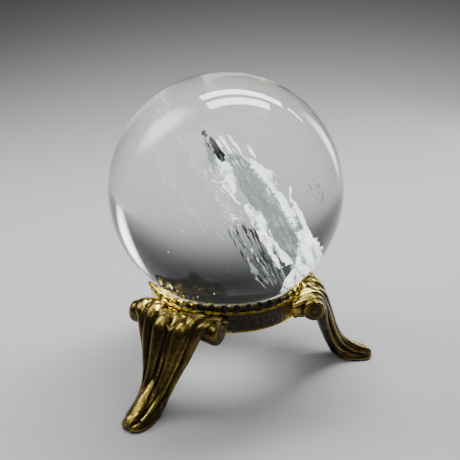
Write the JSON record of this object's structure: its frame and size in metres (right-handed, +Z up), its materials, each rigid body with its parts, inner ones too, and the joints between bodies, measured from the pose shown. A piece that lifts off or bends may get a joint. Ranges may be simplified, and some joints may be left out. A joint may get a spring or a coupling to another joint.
{
  "type": "crystal ball",
  "caption": "Polished clear quartz ball with a veined flaw, resting loose in a beaded brass collar on scroll legs with long toes.",
  "frame": {"origin": "on the table, under the middle of the whole object's box; the ball's own axis is at x = -5.8 mm", "axes": "+Z up, +X towards the toe of the right leg, -Y towards the viewer"},
  "size_m": [0.0716, 0.0729, 0.0772],
  "materials": {
    "quartz": "polished, water clear",
    "quartz_fracture": "silvery cleavage veils inside the ball",
    "collar_brass": "antique gold with dark patina, pitted casting",
    "bead_brass": "antique gold, rubbed bright on the beads",
    "leg_brass": "antique gold over near-black patina, rubbed bright on high spots",
    "screw_brass": "turned, slightly tarnished"
  },
  "bodies": {
    "stand": {"collar_ring": "collar_brass", "bead_rim": "bead_brass", "leg_right": "leg_brass", "leg_front_left": "leg_brass", "leg_back_left": "leg_brass", "screw_right": "screw_brass", "screw_front_left": "screw_brass", "screw_back_left": "screw_brass"},
    "ball": {"crystal_ball": "quartz"}
  },
  "joints": [
    {"name": "ball_lift", "type": "slide", "parent": "stand", "child": "ball", "axis": [0, 0, 1], "range_m": [0, 0.05]}
  ]
}
